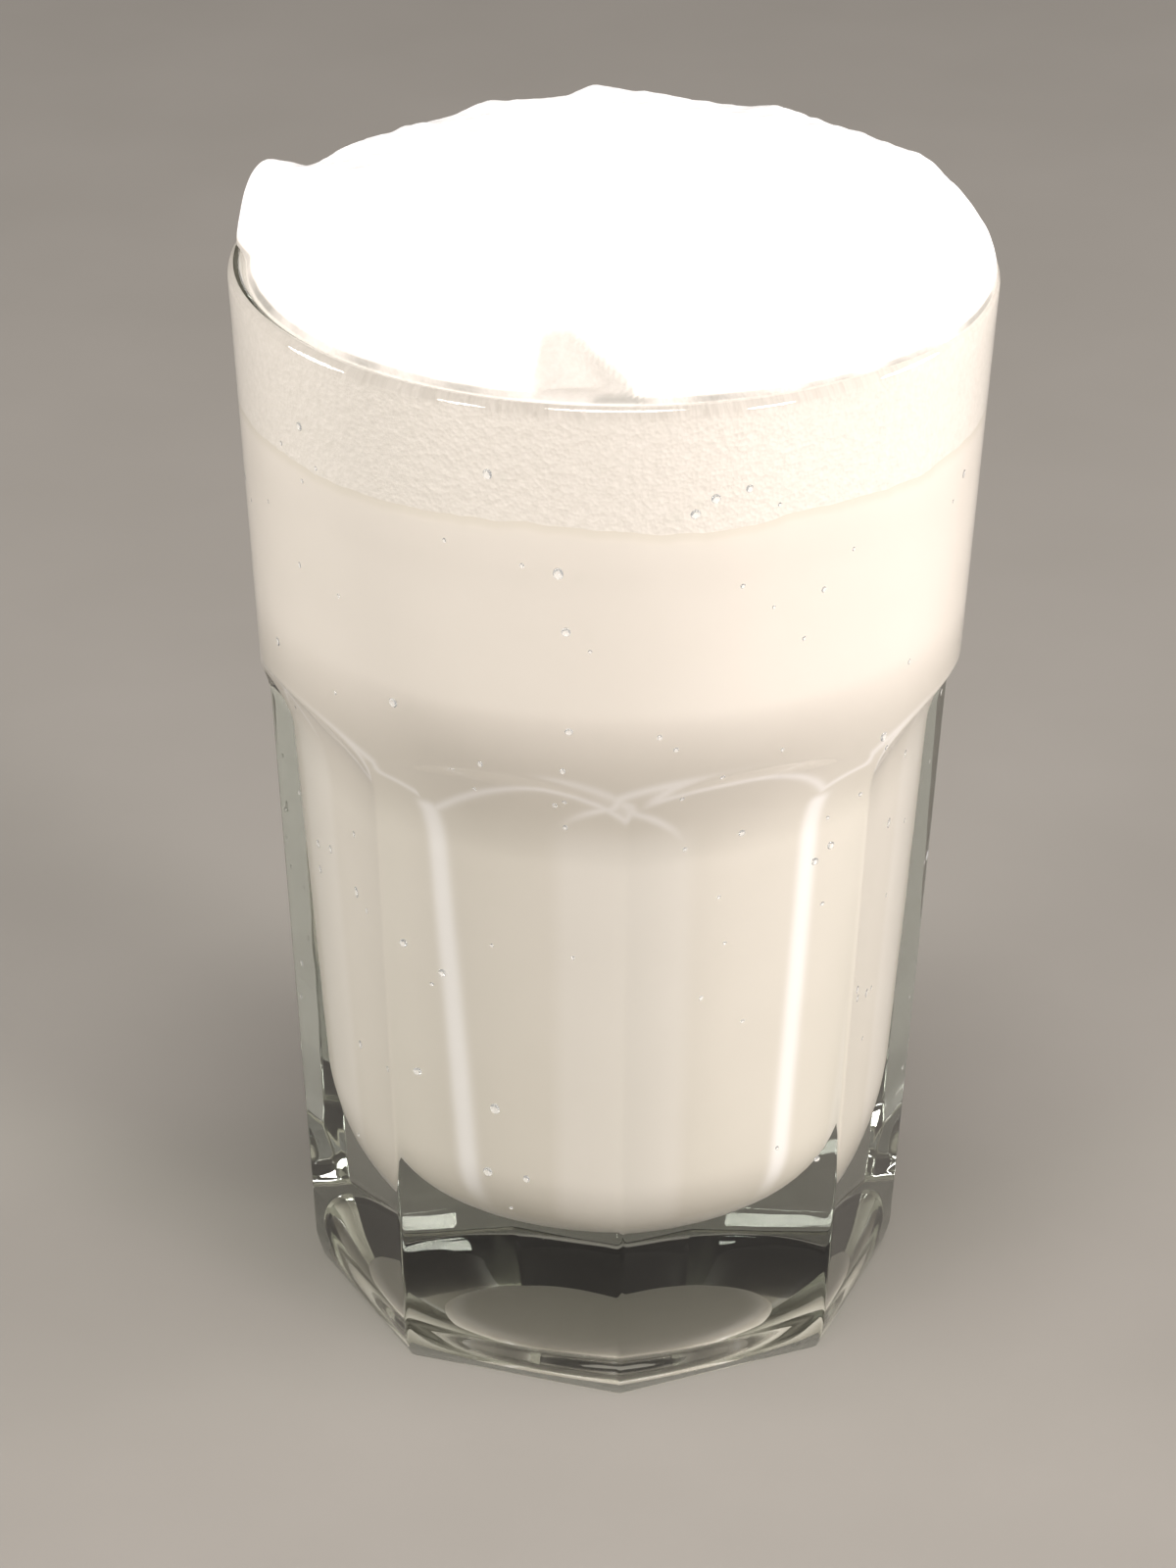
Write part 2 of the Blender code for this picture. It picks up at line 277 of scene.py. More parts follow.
# The camera, fitted to the photograph.
PHOTO_HEIGHT_PX = 1600
FOCAL_LENGTH_PX = 6800
SENSOR_HEIGHT = 36.0
CAMERA_PITCH = math.radians(26.08)
CAMERA_ROLL = math.radians(0.51)
CAMERA_DISTANCE = 740.0
CAMERA_TARGET = Vector((-2.275, 0.0, 59.65))

# The studio, in metres. Each lamp: name, degrees round, degrees up, its disk's size, watts, and colour.
FLOOR_SIZE = 6.0
LAMP_DISTANCE = 1.2
LAMP_AIM_HEIGHT = 0.07
WORLD_COLOUR = (1.0, 0.97, 0.94, 1.0)
WORLD_STRENGTH = 0.008
WARM = (1.0, 0.965, 0.945)
PINK = (1.0, 0.945, 0.93)
LAMPS = (
    ("key", -44, 18, 0.3, 13.8, PINK),
    ("side", -134, 18, 0.3, 7.9, WARM),
    ("right_fill", 5, 15, 0.5, 11.4, PINK),
    ("left_fill", 175, 15, 0.5, 8.3, WARM),
    ("top", -87, 78, 0.5, 12.5, WARM),
)


def smooth_step(start, end, value):
    """0 before start, 1 after end, and a smooth rise between them."""
    share = np.clip((value - start) / (end - start), 0.0, 1.0)
    return share * share * (3 - 2 * share)


def smooth_min(first, second, softness):
    """The smaller of two values, with the crossing rounded off."""
    share = np.clip(0.5 + 0.5 * (second - first) / softness, 0.0, 1.0)
    return second * (1 - share) + first * share - softness * share * (1 - share)


def mix(first, second, share):
    """The first value where share is 0, the second where it is 1."""
    return first + (second - first) * share


def degrees_away(angles, middle):
    """How far angles in radians lie from a direction in degrees, the short way round, in degrees."""
    return np.abs((np.degrees(angles) - middle + 180) % 360 - 180)


def noise_field(x, y, z, size, octaves=1):
    """Smooth noise between about -1 and 1 at every point of three arrays."""
    points = np.stack(np.broadcast_arrays(x, y, z), axis=-1).reshape(-1, 3) / size
    values = [noise.fractal(Vector(point), 1.0, 2.0, octaves) for point in points]
    return np.array(values).reshape(np.broadcast(x, y, z).shape)


# Meshes made as a round grid: one row for each ring, one column for each angle.


def round_grid_mesh(name, angles, radius, height, start_height, end_height):
    """A mesh from arrays of radius and height, rows by columns, each end closed by a point on the axis."""
    rows, columns = radius.shape
    x = radius * np.cos(angles)
    y = radius * np.sin(angles)
    grid = np.stack([x, y, height], axis=-1).reshape(-1, 3)
    ends = np.array([(0.0, 0.0, start_height), (0.0, 0.0, end_height)])
    points = np.vstack([grid, ends]) * MM
    across = np.arange(columns)
    beside = (across + 1) % columns
    faces = []
    for row in range(rows - 1):
        lower = row * columns
        upper = lower + columns
        corners = [lower + across, lower + beside, upper + beside, upper + across]
        faces += np.stack(corners, axis=-1).tolist()
    start_point = np.full(columns, rows * columns)
    end_point = start_point + 1
    last = (rows - 1) * columns
    faces += np.stack([start_point, beside, across], axis=-1).tolist()
    faces += np.stack([end_point, last + across, last + beside], axis=-1).tolist()
    mesh = bpy.data.meshes.new(name)
    mesh.from_pydata(points.tolist(), [], faces)
    mesh.update()
    mesh.shade_smooth()
    return mesh


def face_outwards(mesh):
    """Turns every face of a closed mesh to point out."""
    work = bmesh.new()
    work.from_mesh(mesh)
    bmesh.ops.recalc_face_normals(work, faces=work.faces)
    work.to_mesh(mesh)
    work.free()


def add_piece(name, mesh, material):
    """An object of the part: linked, finished, and riding on the one body."""
    face_outwards(mesh)
    piece = bpy.data.objects.new(name, mesh)
    bpy.context.scene.collection.objects.link(piece)
    mesh.materials.append(material)
    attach(piece, "root")
    return piece


# The glass.


def cavity_radius(height):
    """The radius of the cavity's wall at a height, with the fillet at its floor."""
    lower = LOWER_WALL_RADIUS + LOWER_WALL_SLOPE * (height - LOWER_WALL_HEIGHT)
    upper = RIM_RADIUS - RIM_WALL - UPPER_WALL_SLOPE * (HEIGHT - height)
    radius = mix(lower, upper, smooth_step(SHOULDER_FOOT, SHOULDER_TOP, height))
    below = np.clip(FLOOR_HEIGHT + FLOOR_FILLET - height, 0.0, FLOOR_FILLET)
    return radius - (FLOOR_FILLET - np.sqrt(FLOOR_FILLET**2 - below**2))


def band_radius(height):
    """The outside of the smooth round band, and of the blank below it."""
    top = HEIGHT - RIM_WALL / 2
    share = np.clip((height - BAND_FOOT_HEIGHT) / (top - BAND_FOOT_HEIGHT), 0.0, 1.0)
    return mix(BAND_FOOT_RADIUS, RIM_RADIUS, share)


def panel_distance(height):
    """How far a panel's surface stands from the axis at a height: bevel, flat panel and scooped top."""
    flat = math.cos(math.pi / PANELS)
    foot = CORNER_FOOT_RADIUS * flat
    slope = (CORNER_TOP_RADIUS * flat - foot) / (CORNER_TOP_HEIGHT - FOOT_BEVEL_HEIGHT)
    panel = foot + slope * (height - FOOT_BEVEL_HEIGHT)
    bevel = foot + FOOT_BEVEL_WIDTH / FOOT_BEVEL_HEIGHT * (height - FOOT_BEVEL_HEIGHT)
    above = np.clip(height - CORNER_TOP_HEIGHT, 0.0, ARCH_RADIUS * ARCH_SCOOP_END)
    scoop = ARCH_RADIUS - np.sqrt(ARCH_RADIUS**2 - above**2)
    return smooth_min(panel, bevel, BEVEL_SOFTNESS) + scoop


def outer_radius(angles, height):
    """The outside of the glass at angles and heights: the band, cut by panels, with softened edges."""
    width = math.tau / PANELS
    turned = (angles - math.radians(-90) - PANEL_TURN) / width
    along = (turned % 1.0 - 0.5) * width
    distance = panel_distance(height)
    nearest = distance / np.cos(along)
    beside = distance / np.cos(width - np.abs(along))
    panels = smooth_min(nearest, beside, CORNER_SOFTNESS)
    radius = smooth_min(band_radius(height), panels, ARCH_SOFTNESS)
    below = np.clip(FOOT_ROUNDING - height, 0.0, FOOT_ROUNDING)
    return radius - (FOOT_ROUNDING - np.sqrt(FOOT_ROUNDING**2 - below**2))


def glass_angles():
    """Angles all round, close together at the corners between the panels."""
    steps = np.arange(COLUMNS_PER_PANEL) / COLUMNS_PER_PANEL
    share = 0.5 - 0.5 * np.cos(math.pi * steps)
    panels = np.arange(PANELS)[:, None] + share[None, :]
    return math.radians(-90) + PANEL_TURN + math.tau / PANELS * panels.ravel()


def inside_heights():
    """Heights up the cavity's wall, close together where it curves."""
    fillet = FLOOR_HEIGHT + FLOOR_FILLET * (1 - np.cos(np.linspace(0, math.pi / 2, FILLET_ROWS)))
    lower = np.linspace(FLOOR_HEIGHT + FLOOR_FILLET, SHOULDER_FOOT, LOWER_WALL_ROWS)[1:]
    shoulder = np.linspace(SHOULDER_FOOT, SHOULDER_TOP, SHOULDER_ROWS)[1:]
    upper = np.linspace(SHOULDER_TOP, HEIGHT - RIM_WALL / 2, UPPER_WALL_ROWS)[1:]
    return np.concatenate([fillet, lower, shoulder, upper])


def outside_heights():
    """Heights down the outside, close together at the arches, the bevel and the foot's edge."""
    band = np.linspace(HEIGHT - RIM_WALL / 2, ARCH_ROWS_TOP, BAND_ROWS)[1:]
    arches = np.linspace(ARCH_ROWS_TOP, ARCH_ROWS_FOOT, ARCH_ROWS)[1:]
    panels = np.linspace(ARCH_ROWS_FOOT, BEVEL_ROWS_TOP, PANEL_ROWS)[1:]
    bevel = np.linspace(BEVEL_ROWS_TOP, FOOT_ROUNDING, BEVEL_ROWS)[1:]
    edge = FOOT_ROUNDING * (1 - np.sin(np.linspace(0, math.pi / 2, FOOT_EDGE_ROWS)))[1:]
    return np.concatenate([band, arches, panels, bevel, edge])


def make_glass_mesh():
    """Up the cavity, over the rim, down the panels and under the foot."""
    angles = glass_angles()
    rows = []
    for radius in np.linspace(0.0, cavity_radius(FLOOR_HEIGHT), FLOOR_ROWS)[1:-1]:
        rows.append((radius, FLOOR_HEIGHT))
    for height in inside_heights():
        rows.append((cavity_radius(height), height))
    lip = RIM_WALL / 2
    for turn in np.linspace(math.pi, 0.0, RIM_ROWS)[1:]:
        rows.append((RIM_RADIUS - lip + lip * math.cos(turn), HEIGHT - lip + lip * math.sin(turn)))
    for height in outside_heights():
        rows.append((outer_radius(angles, height), height))
    edge = outer_radius(angles, 0.0)
    for share in FOOT_RING_ROWS:
        rows.append((mix(edge, UNDERCUT_RADIUS, share), 0.0))
    for turn in np.linspace(0.0, math.pi / 2, UNDERCUT_ROWS)[1:-1]:
        rows.append((UNDERCUT_RADIUS * math.cos(turn), UNDERCUT_DEPTH * math.sin(turn)))
    radius = np.stack([np.broadcast_to(row[0], angles.shape) for row in rows])
    height = np.stack([np.full(angles.shape, row[1]) for row in rows])
    return round_grid_mesh("glass_clear", angles, radius, height, FLOOR_HEIGHT, UNDERCUT_DEPTH)


# The drink and the foam.


def filling_angles(columns):
    """Angles all round, evenly spaced."""
    return np.arange(columns) / columns * math.tau


def surface_height(x, y):
    """The uneven surface between the drink and its foam, ragged as it shows at the wall."""
    waves = noise_field(x, y, SURFACE_WAVE_SLICE, SURFACE_WAVE_SIZE) * SURFACE_WAVE
    ragged = noise_field(x, y, SURFACE_RAGGED_SLICE, SURFACE_RAGGED_SIZE, octaves=3) * SURFACE_RAGGED
    return DRINK_HEIGHT + waves + ragged


def stripe_light(around, height):
    """The upright line of light below a corner, where around is in degrees from that corner."""
    drop = np.clip(1 - height / STRIPE_TOP, 0.0, 1.0)
    aside = (around - mix(*STRIPE_OFFSETS, drop)) / mix(*STRIPE_HALF_WIDTHS, drop)
    top = smooth_step(STRIPE_TOP + STRIPE_TOP_SOFTNESS, STRIPE_TOP - STRIPE_TOP_SOFTNESS, height)
    ends = top * smooth_step(*STRIPE_FOOT_FADE, height)
    return np.exp(-(np.abs(aside) ** STRIPE_EDGE_STEEPNESS)) * ends


def arch_line_height(away, shape):
    """How high a line that follows an arch lies, where away is in degrees from its corner."""
    top, rise, peak, rise_bend, fall, fall_bend = shape
    up = rise * np.clip(1 - away / peak, 0.0, 1.0) ** rise_bend
    down = fall * np.clip((away - peak) / (ARCH_LINE_END - peak), 0.0, ARCH_FALL_LIMIT) ** fall_bend
    return top - up - down


def arch_light(away, height, shape):
    """The light and the shade of a line that springs from a corner, away in degrees from that corner."""
    line = arch_line_height(away, shape)
    slope = (arch_line_height(away + 1.0, shape) - line) / DEGREE_ON_DRINK
    off = (height - line) / np.hypot(1.0, slope)
    below = smooth_step(*ARCH_SHADE_NEAR, -off) * smooth_step(*ARCH_SHADE_FAR, -off)
    shade = below * smooth_step(*ARCH_SHADE_START, away) * (1 - smooth_step(*ARCH_SHADE_END, away))
    glow = np.exp(-((off / ARCH_LINE_WIDTH) ** 2)) * (1 - smooth_step(*ARCH_LINE_FADE, away))
    return glow, shade


def line_light(angles, height, level):
    """The light that the glass casts on the drink: 1 in a bright line, less than PLAIN_LIGHT in shade."""
    half = BRIGHT_SPACING / 2
    around = (np.degrees(angles) - BRIGHT_CORNER + half) % BRIGHT_SPACING - half
    first, first_shade = arch_light(around % BRIGHT_SPACING, height, ARCH_LINE)
    left, left_shade = arch_light(around % BRIGHT_SPACING, height, LEFT_ARCH_LINE)
    second = arch_light(-around % BRIGHT_SPACING, height, ARCH_LINE)[0]
    on_left_arch = degrees_away(angles, LEFT_ARCH_MIDDLE) < half
    first = np.where(on_left_arch, left, first)
    first_shade = np.where(on_left_arch, left_shade, first_shade)
    # Painted light on the panels between the bright corners, and a painted glow at the floor.
    sides = smooth_step(*BETWEEN_SIDE_FADE, np.abs(around))
    between = sides * smooth_step(*BETWEEN_TOP_FADE, height) * BETWEEN_LIGHT
    arches = ARCH_LINE_LIGHT * np.maximum(first, second)
    under = smooth_step(FLOOR_HEIGHT + FLOOR_GLOW_FADE[0], FLOOR_HEIGHT + FLOOR_GLOW_FADE[1], height)
    glow = np.maximum(np.maximum(stripe_light(around, height), arches), np.maximum(between, under))
    # Painted shade under the arches' lines, below the drink's top and low down.
    at_top = smooth_step(*TOP_SHADE_FADE, level - height)
    low_down = smooth_step(*LOW_SHADE_FADE, height)
    shade = ARCH_SHADE * first_shade + TOP_SHADE * at_top + LOW_SHADE * low_down
    return mix(PLAIN_LIGHT - shade, 1.0, glow)


def drink_wall_heights():
    """Heights up the drink's wall, close together where the bright arches lie."""
    wall = inside_heights()
    fine_foot, fine_top = DRINK_FINE_ROWS
    low = wall[(wall > FLOOR_HEIGHT) & (wall < fine_foot)]
    high = wall[(wall > fine_top) & (wall < DRINK_HEIGHT - DRINK_TOP_CLEARANCE)]
    return np.concatenate([low, np.arange(fine_foot, fine_top, DRINK_FINE_STEP), high])


def make_drink_mesh():
    """The drink, reaching just into the glass, with its uneven top and the light on its wall."""
    angles = filling_angles(DRINK_COLUMNS)
    rows = []
    for radius in np.linspace(0.0, cavity_radius(FLOOR_HEIGHT), FLOOR_ROWS)[1:]:
        rows.append((np.full(angles.shape, radius), np.full(angles.shape, FLOOR_HEIGHT - INTO_WALL)))
    for height in drink_wall_heights():
        radius = cavity_radius(height) + INTO_WALL
        rows.append((np.full(angles.shape, radius), np.full(angles.shape, height)))
    edge = cavity_radius(DRINK_HEIGHT) + INTO_WALL
    level = surface_height(edge * np.cos(angles), edge * np.sin(angles)) + SURFACE_OVERLAP
    for below in DRINK_TOP_ROWS:
        rows.append((cavity_radius(level) + INTO_WALL, level - below))
    for share in np.linspace(1.0, 0.0, SURFACE_ROWS)[1:-1]:
        inner = edge * share
        rows.append((np.full(angles.shape, inner), mix(DRINK_HEIGHT, level, share)))
    radius = np.stack([row[0] for row in rows])
    height = np.stack([row[1] for row in rows])
    mesh = round_grid_mesh("ayran_drink", angles, radius, height, FLOOR_HEIGHT - INTO_WALL, DRINK_HEIGHT)
    # The light and shade painted into the drink's colour.
    light = mesh.attributes.new("line_light", "FLOAT", "POINT")
    values = np.ones(len(mesh.vertices))
    values[: height.size] = line_light(np.broadcast_to(angles, height.shape), height, level).ravel()
    light.data.foreach_set("value", values)
    return mesh


def sector_share(sector, angles):
    """1 in the middle of a sector, 0 outside it, and a smooth fall at its sides."""
    middle, full, ended = sector
    return 1 - smooth_step(full, ended, degrees_away(angles, middle))


def foam_over(angles):
    """How far the foam lies over the rim, from 0 to 1."""
    return np.maximum(sector_share(FOAM_SPILL, angles), sector_share(FOAM_LOBE, angles))


def cleft_share(x, y):
    """How deep the cleft is at a point: 1 at the rim, 0 where it runs out inwards and at its sides."""
    run = CLEFT_INNER_END - CLEFT_RIM_END
    offset_x = x - CLEFT_RIM_END[0]
    offset_y = y - CLEFT_RIM_END[1]
    share = np.clip((offset_x * run[0] + offset_y * run[1]) / run.dot(run), 0.0, 1.0)
    off_line = np.hypot(offset_x - run[0] * share, offset_y - run[1] * share)
    aside = off_line / mix(*CLEFT_HALF_WIDTHS, share)
    on_right = offset_x * run[1] - offset_y * run[0] > 0
    steepness = np.where(on_right, CLEFT_RIGHT_STEEPNESS, CLEFT_LEFT_STEEPNESS)
    return (1 - share) ** CLEFT_FADE * np.exp(-(aside**steepness))


def foam_rise(x, y, edge):
    """How far the heap stands above the foam's lip at a point, where edge is how far the foam reaches."""
    share = np.clip(np.hypot(x, y) / edge, 0.0, 1.0)
    angles = np.arctan2(y, x)
    steepness = mix(FOAM_STEEPNESS, FOAM_BULGE_STEEPNESS, sector_share(FOAM_BULGE, angles))
    lip_steepness = mix(FOAM_LIP_STEEPNESS, FOAM_LOBE_STEEPNESS, sector_share(FOAM_LOBE, angles))
    rise = FOAM_HEIGHT * (1 - share**steepness)
    held = 1 - share**lip_steepness
    for swell_x, swell_y, height, reach in FOAM_SWELLS:
        away = np.hypot(x - swell_x, y - swell_y) / reach
        rise = rise + height * np.exp(-away * away) * held
    rise = rise + FOAM_RUFFLE * noise_field(x, y, FOAM_RUFFLE_SLICE, FOAM_RUFFLE_SIZE, octaves=3) * held
    rise = rise + FOAM_CRUMB * noise_field(x, y, FOAM_CRUMB_SLICE, FOAM_CRUMB_SIZE, octaves=3) * held
    return rise - CLEFT_DEPTH * cleft_share(x, y) * held


def rim_fade(height, fade):
    """A smooth step between two heights above the rim."""
    return smooth_step(HEIGHT + fade[0], HEIGHT + fade[1], height)


def foam_grey_and_shade(x, y, height):
    """How greyed the foam is: 0 on the open heap, greyer against the glass, most where shade is painted in
    the cleft and along the lip's foot.
    """
    at_glass = GREY_AT_GLASS * rim_fade(height, GREY_GLASS_FADE)
    above_rim = rim_fade(height, SHADE_RIM_FADE)
    # Painted shade in the cleft, and a painted dark line of shade along the lip's foot, uneven along it.
    cleft_shade = CLEFT_SHADE_STRENGTH * np.clip(cleft_share(x, y) * CLEFT_SHADE_SPREAD, 0.0, 1.0) * above_rim
    foot_shade = rim_fade(height, FOOT_SHADE_FADE) * above_rim
    swing = FOOT_SHADE_PATCH_SWING * noise_field(x, y, FOOT_SHADE_PATCH_SLICE, FOOT_SHADE_PATCH_SIZE, octaves=2)
    patches = np.clip(FOOT_SHADE_PATCH_MIDDLE + swing, *FOOT_SHADE_PATCH_LIMITS)
    return np.maximum(np.maximum(at_glass, cleft_shade), foot_shade * patches)


def make_foam_mesh():
    """The foam: its underside on the drink, its wall in the glass, its lip on the rim, and its heap."""
    angles = filling_angles(FOAM_COLUMNS)
    cos, sin = np.cos(angles), np.sin(angles)
    rows = []
    edge = cavity_radius(DRINK_HEIGHT) + INTO_WALL
    level = surface_height(edge * cos, edge * sin)
    for share in (*np.linspace(0.0, 1.0, FOAM_UNDERSIDE_ROWS)[1:-1], FOAM_UNDERSIDE_LAST):
        height = mix(DRINK_HEIGHT - SURFACE_OVERLAP, level, share)
        rows.append((np.full(angles.shape, edge * share), height))
    top = HEIGHT - RIM_WALL / 2
    for share in (0.0, FOAM_WALL_FIRST, *np.linspace(0.0, 1.0, FOAM_WALL_ROWS)[1:]):
        height = mix(level, top - FOAM_WALL_GAP, share)
        rows.append((cavity_radius(height) + FOAM_INTO_WALL, height))
    lip = RIM_WALL / 2
    over = foam_over(angles)
    last = np.radians(mix(*FOAM_LIP_ENDS, over))
    for share in np.linspace(0.0, 1.0, FOAM_LIP_ROWS):
        turn = mix(math.pi, last, share)
        radius = RIM_RADIUS - lip + (lip - INTO_WALL) * np.cos(turn)
        rows.append((radius, top + (lip - INTO_WALL) * np.sin(turn)))
    foot_radius, foot_height = rows[-1]
    reach = mix(FOAM_EDGE_INSIDE, FOAM_EDGE_OUTSIDE, over)
    for step in range(1, FOAM_HEAP_ROWS):
        share = math.cos(math.radians(90 * step / FOAM_HEAP_ROWS))
        radius = reach * share
        rise = foam_rise(radius * cos, radius * sin, reach)
        settle = share**FOAM_LIP_BLEND
        height = mix(FOAM_LIP_HEIGHT, foot_height, settle) + np.maximum(rise, 0.0)
        rows.append((mix(radius, foot_radius, settle), height))
    radius = np.stack([row[0] for row in rows])
    height = np.stack([row[1] for row in rows])
    peak = FOAM_LIP_HEIGHT + float(foam_rise(np.zeros(1), np.zeros(1), FOAM_EDGE_INSIDE)[0])
    mesh = round_grid_mesh("foam_heap", angles, radius, height, DRINK_HEIGHT - SURFACE_OVERLAP, peak)
    # The grey tone against the glass and the shade painted in the cleft and along the lip's foot.
    grey_and_shade = mesh.attributes.new("grey_and_shade", "FLOAT", "POINT")
    values = np.zeros(len(mesh.vertices))
    values[: height.size] = foam_grey_and_shade(radius * cos, radius * sin, height).ravel()
    grey_and_shade.data.foreach_set("value", values)
    return mesh


# The beads of water.


def outside_point(angle, height):
    """A point on the outside of the glass."""
    radius = float(outer_radius(np.array([angle]), height)[0])
    return Vector((radius * math.cos(angle), radius * math.sin(angle), height))


def bead_points(angle, height, radius, stretch):
    """The points of one low dome on the glass: its rings, its top, and the middle of its foot."""
    middle = outside_point(angle, height)
    turn = SLOPE_ANGLE
    step = SLOPE_HEIGHT
    across = (outside_point(angle + turn, height) - outside_point(angle - turn, height)).normalized()
    upward = (outside_point(angle, height + step) - outside_point(angle, height - step)).normalized()
    outward = across.cross(upward)
    points = []
    for ring in range(DROPLET_RINGS):
        share = 1 - ring / DROPLET_RINGS
        lift = radius * DROPLET_FLATNESS * (1 - share**2) - DROPLET_SINK
        for side in range(DROPLET_SIDES):
            way = math.tau * side / DROPLET_SIDES
            reach = radius * share
            flat = across * (reach * math.cos(way)) + upward * (reach * stretch * math.sin(way))
            points.append(middle + flat + outward * lift)
    points.append(middle + outward * (radius * DROPLET_FLATNESS - DROPLET_SINK))
    points.append(middle - outward * DROPLET_SINK)
    return points


def bead_faces(start):
    """The faces of one dome whose points begin at an index."""
    top = start + DROPLET_RINGS * DROPLET_SIDES
    faces = []
    for side in range(DROPLET_SIDES):
        beside = (side + 1) % DROPLET_SIDES
        for ring in range(DROPLET_RINGS - 1):
            low = start + ring * DROPLET_SIDES
            high = low + DROPLET_SIDES
            faces.append((low + side, low + beside, high + beside, high + side))
        last = top - DROPLET_SIDES
        faces.append((last + side, last + beside, top))
        faces.append((start + beside, start + side, top + 1))
    return faces


def make_beads_mesh():
    """Beads of water of many sizes, scattered over the outside of the glass and joined in one mesh."""
    chance = np.random.default_rng(DROPLET_SEED)
    points = []
    faces = []
    for _ in range(DROPLETS):
        angle = chance.uniform(0.0, math.tau)
        height = mix(*DROPLET_HEIGHTS, chance.random() ** DROPLET_HEIGHT_BIAS)
        radius = mix(*DROPLET_RADII, chance.random() ** DROPLET_SMALL_BIAS)
        stretch = chance.uniform(*DROPLET_STRETCH)
        faces += bead_faces(len(points))
        points += bead_points(angle, height, radius, stretch)
    mesh = bpy.data.meshes.new("water_beads")
    mesh.from_pydata([tuple(point * MM) for point in points], [], faces)
    mesh.update()
    mesh.shade_smooth()
    return mesh


# Materials.


def new_material(name):
    """An empty node material, its tree, Principled shader and object-space coordinates."""
    material = bpy.data.materials.new(name)
    material.use_nodes = True
    tree = material.node_tree
    shader = tree.nodes["Principled BSDF"]
    place = tree.nodes.new("ShaderNodeTexCoord")
    return material, tree, shader, place.outputs["Object"]


def add_noise(tree, place, size, detail=3.0):
    """A noise texture whose features are about as large as size, in millimetres."""
    texture = tree.nodes.new("ShaderNodeTexNoise")
    texture.inputs["Scale"].default_value = 1 / (size * MM)
    texture.inputs["Detail"].default_value = detail
    tree.links.new(place, texture.inputs["Vector"])
    return texture.outputs["Fac"]


def add_cells(tree, place, size):
    """Round cells about as large as size, in millimetres: the distance from each cell's middle."""
    texture = tree.nodes.new("ShaderNodeTexVoronoi")
    texture.inputs["Scale"].default_value = 1 / (size * MM)
    tree.links.new(place, texture.inputs["Vector"])
    return texture.outputs["Distance"]


def add_ramp(tree, value, stops):
    """A colour ramp through (position, colour) stops."""
    ramp = tree.nodes.new("ShaderNodeValToRGB")
    elements = ramp.color_ramp.elements
    while len(elements) < len(stops):
        elements.new(0.5)
    for element, (position, colour) in zip(elements, stops):
        element.position = position
        element.color = (*colour, 1.0)
    tree.links.new(value, ramp.inputs["Fac"])
    return ramp.outputs["Color"]


def add_bump(tree, height, distance, under=None):
    """A bump of a depth in millimetres, over another bump if one is given."""
    bump = tree.nodes.new("ShaderNodeBump")
    bump.inputs["Distance"].default_value = distance * MM
    bump.inputs["Strength"].default_value = 1.0
    tree.links.new(height, bump.inputs["Height"])
    if under is not None:
        tree.links.new(under, bump.inputs["Normal"])
    return bump.outputs["Normal"]


def make_glass_material():
    """Clear glass with a faint green body colour and the slight waves of pressing."""
    material, tree, shader, place = new_material("clear_glass")
    shader.inputs["Base Color"].default_value = (1.0, 1.0, 1.0, 1.0)
    shader.inputs["Roughness"].default_value = 0.0
    shader.inputs["IOR"].default_value = 1.52
    shader.inputs["Transmission Weight"].default_value = 1.0
    waves = add_noise(tree, place, GLASS_WAVE_SIZE, detail=1.0)
    tree.links.new(add_bump(tree, waves, GLASS_WAVE_DEPTH), shader.inputs["Normal"])
    body = tree.nodes.new("ShaderNodeVolumeAbsorption")
    body.inputs["Color"].default_value = GLASS_BODY_COLOUR
    body.inputs["Density"].default_value = GLASS_BODY_DENSITY
    tree.links.new(body.outputs["Volume"], tree.nodes["Material Output"].inputs["Volume"])
    let_lamps_through(tree, shader)
    return material


def make_water_material():
    """Clear water, as the small beads on the glass."""
    material, tree, shader, place = new_material("water_beads")
    shader.inputs["Base Color"].default_value = (1.0, 1.0, 1.0, 1.0)
    shader.inputs["Roughness"].default_value = 0.06
    shader.inputs["IOR"].default_value = 1.33
    shader.inputs["Transmission Weight"].default_value = 0.85
    ripple = add_noise(tree, place, WATER_RIPPLE_SIZE, detail=1.0)
    tree.links.new(add_bump(tree, ripple, WATER_RIPPLE_DEPTH), shader.inputs["Normal"])
    let_lamps_through(tree, shader)
    return material


def let_lamps_through(tree, shader):
    """Lets the light of lamps and of pale surfaces pass straight through glass to what stands in it."""
    path = tree.nodes.new("ShaderNodeLightPath")
    either = tree.nodes.new("ShaderNodeMath")
    either.operation = "MAXIMUM"
    clear = tree.nodes.new("ShaderNodeBsdfTransparent")
    clear.inputs["Color"].default_value = GLASS_SHADOW_COLOUR
    choice = tree.nodes.new("ShaderNodeMixShader")
    tree.links.new(path.outputs["Is Shadow Ray"], either.inputs[0])
    tree.links.new(path.outputs["Is Diffuse Ray"], either.inputs[1])
    tree.links.new(either.outputs["Value"], choice.inputs["Fac"])
    tree.links.new(shader.outputs["BSDF"], choice.inputs[1])
    tree.links.new(clear.outputs["BSDF"], choice.inputs[2])
    tree.links.new(choice.outputs["Shader"], tree.nodes["Material Output"].inputs["Surface"])


def multiply_colours(tree, first, second):
    """One colour multiplied by another."""
    product = tree.nodes.new("ShaderNodeMix")
    product.data_type = "RGBA"
    product.blend_type = "MULTIPLY"
    product.inputs["Factor"].default_value = 1.0
    tree.links.new(first, product.inputs["A"])
    tree.links.new(second, product.inputs["B"])
    return product.outputs["Result"]


